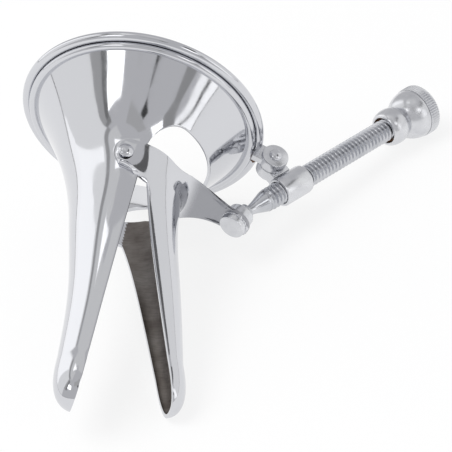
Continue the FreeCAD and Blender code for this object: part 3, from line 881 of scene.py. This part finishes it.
def thread_point(u, v):
    """u goes round the screw and v along it; the crest is round and the root is narrow."""
    height = THREAD_START + (THREAD_END - THREAD_START) * v
    wave = math.cos(2 * math.pi * ((height - THREAD_START) / PITCH - u))
    crest = (0.5 + 0.5 * wave) ** 0.75
    fade = ease((height - THREAD_START) / 1.4)
    radius = THREAD_RADIUS - THREAD_DEPTH * (1 - crest) * fade - 0.22 * (1 - fade)
    return Vector((radius * math.cos(2 * math.pi * u), radius * math.sin(2 * math.pi * u),
                   height))


thread = laid_grid("thread", 56, round(TURNS * 16), thread_point)
merge(thread, 0.001)
screw = join("screw_with_thread", plain, thread)
smooth_faces(screw, 50)
finish_piece(screw, "screw", thread_plate, ["screw_rod"], SCREW_PLACE)

# %% [markdown]
# The knob has a collar with a counterbore for the screw, a groove, and a waist that swells like
# a ball into the grip. Its edge is straight-knurled, like a coin: each tooth is about 0.7 mm
# wide. The teeth are modelled, because the light catches them one by one.

# %% The knob
TEETH = 62
RECESS = 3.75
collar = turned("knob_collar", [
    (THREAD_RADIUS - 0.4, 1.7), (RECESS, 1.7), (RECESS, 0.12), (RECESS + 0.12, 0), (4.1, 0),
    (4.35, 0.12), (4.75, 0.6), (5.05, 1.6), (5.17, 2.6), (5.15, 3.6), (4.98, 4.6), (4.6, 5.45),
    (4.2, 5.9), (3.95, 6.05), (3.95, 6.3), (4.4, 6.45), (5.0, 6.9), (5.7, 7.7), (6.25, 8.7),
    (6.62, 9.8), (6.83, 10.8), (6.9, 11.6), (6.85, 12.05)], 96)
grip_profile = [(6.9, 12.0), (7.05, 12.05), (7.15, 12.3), (7.15, 13.0), (7.15, 13.8),
                (7.15, 14.8), (7.0, 15.25), (6.5, 15.6), (5.4, 15.9), (4.0, 16.15), (2.6, 16.3),
                (1.2, 16.4), (0.02, 16.45)]


def grip_point(u, v):
    """The grip's outline, with straight teeth where it is widest."""
    radius = sampled([station[0] for station in grip_profile], v)
    height = sampled([station[1] for station in grip_profile], v)
    bite = ease((radius - 6.4) / 0.5) * ease((height - 12.05) / 0.3)
    tooth = abs(((u * TEETH) % 1) * 2 - 1)
    radius -= 0.36 * bite * ease(tooth * 1.3 - 0.15)
    return Vector((radius * math.cos(2 * math.pi * u), radius * math.sin(2 * math.pi * u),
                   height))


grip = laid_grid("grip", TEETH * 6, (len(grip_profile) - 1) * 4, grip_point)
merge(grip, 0.001)
smooth_faces(collar)
smooth_faces(grip, 30)
knob = join("knurled_knob", collar, grip)
KNOB_PLACE = axis_turn(BALL + SCREW * KNOB_START, SCREW)
finish_piece(knob, "screw", satin_plate, ["knob"], KNOB_PLACE)

# %% [markdown]
# The counterbore holds a ring of old brown solder round the screw.

# %% Solder in the collar
deselect()
bpy.ops.mesh.primitive_torus_add(major_segments=96, minor_segments=12,
                                 major_radius=3.4, minor_radius=0.4)
collar_solder = bpy.context.object
collar_solder.name = "collar_solder"
for point in collar_solder.data.vertices:
    around = math.atan2(point.co.y, point.co.x)
    point.co.z += 1.25 + 0.12 * math.sin(7 * around) + 0.08 * math.sin(17 * around + 1)
smooth_faces(collar_solder, 60)
finish_piece(collar_solder, "screw", solder, (), KNOB_PLACE)

# %% [markdown]
# The ball on the screw's front end sits in the drum's chamber. It is nearly hidden: a ball with
# two flats.

# %% The swivel ball
deselect()
bpy.ops.mesh.primitive_uv_sphere_add(segments=48, ring_count=24, radius=1.6)
ball = bpy.context.object
ball.name = "swivel_ball_turned"
bpy.ops.object.mode_set(mode="EDIT")
for height, direction in ((1.25, 1), (-1.25, -1)):
    bpy.ops.mesh.select_all(action="SELECT")
    bpy.ops.mesh.bisect(plane_co=(0, 0, height), plane_no=(0, 0, direction), clear_outer=True,
                        use_fill=True)
bpy.ops.object.mode_set(mode="OBJECT")
smooth_faces(ball)
finish_piece(ball, "swivel_ball", satin_plate, ["swivel_ball"], SCREW_PLACE)

# %% [markdown]
# The lug is a thick disc, soldered to the rim over a short foot. The nut's tab is a second
# disc beside it, and one rivet holds both. Discs and tabs are outlines extruded to their
# thickness, with bevelled edges.

# %% Plates with a thickness
def plate(name, outline, low, high, bevel=0.18):
    """A flat plate over an outline of (x, z) points, between two values of y."""
    deselect()
    bpy.ops.mesh.primitive_circle_add(vertices=len(outline), radius=1, fill_type="NGON")
    piece = bpy.context.object
    piece.name = name
    for point, (x, z) in zip(piece.data.vertices, outline):
        point.co = Vector((x, low, z))
    bpy.ops.object.mode_set(mode="EDIT")
    bpy.ops.mesh.select_all(action="SELECT")
    bpy.ops.mesh.extrude_region_move(TRANSFORM_OT_translate={"value": (0, high - low, 0)})
    bpy.ops.mesh.select_all(action="SELECT")
    bpy.ops.mesh.normals_make_consistent(inside=False)
    bpy.ops.object.mode_set(mode="OBJECT")
    modify(piece, "BEVEL", width=bevel, segments=3, limit_method="ANGLE",
           angle_limit=math.radians(50))
    return smooth_faces(piece)


LUG_RADIUS, SEAM, LUG_NEAR, TAB_FAR = 3.6, 1.7, 5.0, -1.8
RING = RIM_RADIUS - BEAD


def disc_outline(start, end, radius, arm):
    """A round end about one point, with straight sides of a half width to another point."""
    along = (end - start).normalized()
    across = Vector((-along.z, 0, along.x))
    base = math.asin(arm / radius)
    points = []
    for turn in spread(base, 2 * math.pi - base, 56):
        spot = start + along * (radius * math.cos(turn)) + across * (radius * math.sin(turn))
        points.append((spot.x, spot.z))
    for sign in (-1, 1):
        spot = end + across * (arm * sign)
        points.append((spot.x, spot.z))
    return points


lug_disc = turned("lug_disc", [
    (LUG_RADIUS - 0.25, SEAM + 0.06), (LUG_RADIUS - 0.06, SEAM + 0.12),
    (LUG_RADIUS, SEAM + 0.3), (LUG_RADIUS, LUG_NEAR - 0.3),
    (LUG_RADIUS - 0.08, LUG_NEAR - 0.1), (LUG_RADIUS - 0.3, LUG_NEAR)], 96)
smooth_faces(lug_disc)
lug_disc.data.transform(axis_turn(LUG, Vector((0, 1, 0))))
foot = plate("lug_foot", disc_outline(LUG, Vector((RING - 0.6, 0, 1.2)), 2.6, 2.4),
             SEAM + 0.1, SEAM + 2.2)
lug = join("rim_lug_plate", lug_disc, foot)
finish_piece(lug, "bell", satin_plate, ["rim_lug"])

# %% [markdown]
# Brown solder runs into the corner between the lug and the rolled rim. It is a lumpy drop,
# flattened against the rim.

# %% Solder at the lug
deselect()
bpy.ops.mesh.primitive_uv_sphere_add(segments=40, ring_count=24, radius=1)
lug_solder = bpy.context.object
lug_solder.name = "lug_solder"
for point in lug_solder.data.vertices:
    x, y, z = point.co
    lump = 1 + 0.12 * math.sin(7 * x + 1) * math.sin(5 * z) + 0.08 * math.sin(9 * y)
    point.co = Vector((RING + 0.2 + 0.8 * x * lump, 0.2 + 2.6 * y * lump, 0.9 + 0.7 * z * lump))
smooth_faces(lug_solder, 60)
finish_piece(lug_solder, "bell", solder)

# %% The lug's rivet
lug_rivet = turned("lug_rivet_turned", [
    (2.2, TAB_FAR - 0.7), (2.3, TAB_FAR - 0.6), (2.3, TAB_FAR - 0.05), (1.1, TAB_FAR),
    (1.1, LUG_NEAR), (1.7, LUG_NEAR + 0.02), (1.75, LUG_NEAR + 0.2), (1.62, LUG_NEAR + 0.55),
    (1.3, LUG_NEAR + 0.85), (0.8, LUG_NEAR + 1.02), (0.02, LUG_NEAR + 1.08)], 48)
smooth_faces(lug_rivet, 50)
finish_piece(lug_rivet, "bell", rivet_chrome, ["lug_rivet"],
             axis_turn(LUG, Vector((0, 1, 0))))

# %% [markdown]
# The nut is a short barrel with well-rounded ends and a web that joins it to its tab. The
# threaded hole is open, and a thin dark gap shows round the screw.

# %% The swivel nut
NUT_RADIUS, NUT_SHIFT, NUT_HOLE = 3.95, 0.8, 3.2
barrel = turned("nut_barrel", [
    (NUT_HOLE, -4.6), (NUT_HOLE + 0.1, -4.75), (3.55, -4.8), (3.8, -4.68), (3.95, -4.3),
    (3.97, 0), (3.95, 3.9), (3.82, 4.45), (3.55, 4.75), (3.35, 4.8), (NUT_HOLE, 4.7),
    (NUT_HOLE, 0.0), (NUT_HOLE, -4.6)], 72, close=False)
merge(barrel, 0.001)
smooth_faces(barrel, 40)
barrel.data.transform(axis_turn(FOOT + SCREW * NUT_SHIFT, SCREW))
tab_end = LUG + (FOOT - LUG) * ((NUT_OFFSET - NUT_RADIUS + 0.25) / NUT_OFFSET)
tab = plate("nut_tab", disc_outline(LUG, tab_end, LUG_RADIUS, 2.9),
            TAB_FAR, SEAM - 0.06)
nut = join("swivel_nut_machined", barrel, tab)
finish_piece(nut, "swivel_nut", satin_plate, ["swivel_nut"])

# %% [markdown]
# The wire in the rolled bead is never seen; it keeps its shape from the frame and gets a plain
# drawn-steel finish.

# %% Pieces kept from the frame
for name, piece in frame["nodes"].items():
    if not piece.hide_render:
        piece.data.materials.clear()
        piece.data.materials.append(drawn)
        print("kept from the frame:", name)

# %% [markdown]
# The set is a plain studio. Polished metal shows what stands round it far more than its own
# colour, so the room matters: a white table top that ends in a thin dark line, grey walls and
# ceiling, a white window on each side, two soft boxes behind the camera, and the dark spot of
# the camera itself. Each is a curved panel on a sphere round the instrument, given by its
# compass direction and its height above the table in degrees.

# %% Floor and room
scene = bpy.context.scene
FLOOR_LEVEL = min(min(point.co.z for point in piece.data.vertices) for piece in finished)
floor_material = bpy.data.materials.new("white paper floor")
floor_material.use_nodes = True
tree = floor_material.node_tree
paper = tree.nodes["Principled BSDF"]
paper.inputs["Base Color"].default_value = linear("#f6f6f6")
paper.inputs["Roughness"].default_value = 0.9
paths = node(tree, "ShaderNodeLightPath")
glow = node(tree, "ShaderNodeEmission", Strength=1.0)
seen = node(tree, "ShaderNodeMath", [(0, paths, "Is Camera Ray"), (1, paths, "Is Glossy Ray")],
            operation="MAXIMUM")
share = node(tree, "ShaderNodeMath", [(0, seen, "Value")], operation="MULTIPLY")
share.inputs[1].default_value = 0.8
mixed = node(tree, "ShaderNodeMixShader", [(0, share, "Value"), (1, paper, "BSDF"),
                                           (2, glow, "Emission")])
tree.links.new(mixed.outputs["Shader"], tree.nodes["Material Output"].inputs["Surface"])
deselect()
bpy.ops.mesh.primitive_circle_add(vertices=96, radius=1.6, fill_type="NGON")
floor = bpy.context.object
floor.name = "floor"
for point in floor.data.vertices:
    point.co.z = FLOOR_LEVEL
floor.data.materials.append(floor_material)

world = bpy.data.worlds.new("studio")
scene.world = world
world.use_nodes = True
backdrop = world.node_tree.nodes["Background"]
backdrop.inputs["Color"].default_value = [0.98, 0.98, 1.0, 1]
backdrop.inputs["Strength"].default_value = 0.62


def panel(name, west, east, low, high, brightness, distance=1.5):
    """A glowing or dark panel of the room, between two compass directions and two heights."""
    def place(u, v):
        compass = math.radians(west + (east - west) * u)
        rise = math.radians(low + (high - low) * v)
        return Vector((math.sin(compass) * math.cos(rise), math.cos(compass) * math.cos(rise),
                       math.sin(rise))) * distance
    piece = laid_grid(name, max(round((east - west) / 5), 1), max(round((high - low) / 5), 1),
                      place)
    material = bpy.data.materials.new(name + " light")
    material.use_nodes = True
    tree = material.node_tree
    light = node(tree, "ShaderNodeEmission", Strength=brightness)
    tree.links.new(light.outputs["Emission"], tree.nodes["Material Output"].inputs["Surface"])
    piece.data.materials.append(material)
    return piece


def lamp(name, place, size, power):
    """A soft square lamp that faces the instrument."""
    light = bpy.data.lights.new(name, "AREA")
    light.shape = "SQUARE"
    light.size = size
    light.energy = power
    holder = bpy.data.objects.new(name, light)
    scene.collection.objects.link(holder)
    holder.location = place
    holder.rotation_mode = "QUATERNION"
    holder.rotation_quaternion = (-Vector(place)).to_track_quat("-Z", "Y")
    holder.visible_glossy = False
    return holder


ROOM = [
    ("table edge", -180, 180, -1.5, 1.5, 0.35, 1.62),
    ("left wall", -121, -58, 1, 60, 0.95),
    ("left window", -86, -58, 2, 11.5, 1.3, 1.45),
    ("tall left window", -84, -60, 11, 57, 1.35, 1.44),
    ("soft box behind the camera on the left", -162, -138, 40, 53.5, 2.2),
    ("edge of the dark curtain", -138, -131, 30, 56, 0.22),
    ("dark curtain", -131, -121, 30, 58, 0.45),
    ("low end of the ceiling rail", -140, -124, 56, 61, 0.3),
    ("dark ceiling rail", -126, -58, 61, 66, 0.4),
    ("ceiling", -150, 100, 67, 84, 0.75, 1.48),
    ("ceiling lamp", -98, -52, 76, 89, 1.6, 1.4),
    ("right wall", 38, 96, 1, 42, 0.9),
    ("dark shelf", 60, 100, 42, 52, 0.14),
    ("right window", 96, 112, 1, 31, 1.4, 1.45),
    ("window frame", 112, 113.5, 1, 31, 0.1, 1.45),
    ("narrow right window", 113.5, 118, 3, 21, 1.3, 1.45),
    ("grey curtain", 110, 127, 22, 33.5, 0.35, 1.44),
    ("soft box behind the camera on the right", 106, 125, 34, 48, 2.0, 1.44),
    ("camera", 144, 154, 47, 53, 0.05),
    ("shade above the camera", 126, 178, 54, 66, 0.5, 1.52),
]
for wall in ROOM:
    panel(*wall)
# The lamp lights the satin parts; the mirrors show only the panels.
lamp("key lamp", (-0.5, -0.3, 1.1), 0.7, 7.0)

# %% [markdown]
# The camera stands where the photograph was taken: about 0.6 m away, beyond the blades'
# tips, looking down on the instrument at 38 degrees, and turned a little about its own axis.

# %% The camera
FOCAL_PIXELS, PICTURE_PIXELS = 2266.7, 452
camera_place = Vector((-32.1, 459.7, 385.9))
right = Vector((0.9488, 0.2621, -0.1762))
down = Vector((0.2987, -0.5638, 0.7700))
ahead = Vector((0.1024, -0.7832, -0.6133))
lens = bpy.data.cameras.new("camera")
camera = bpy.data.objects.new("camera", lens)
scene.collection.objects.link(camera)
lens.sensor_width = 36
lens.lens = FOCAL_PIXELS / PICTURE_PIXELS * lens.sensor_width
lens.clip_start, lens.clip_end = 0.01, 20
facing = Matrix((TURN @ right, TURN @ -down, TURN @ -ahead)).transposed()
camera.rotation_mode = "QUATERNION"
camera.rotation_quaternion = facing.to_quaternion()
camera.location = TO_ROW @ camera_place
scene.camera = camera
scene.view_settings.view_transform = "Standard"
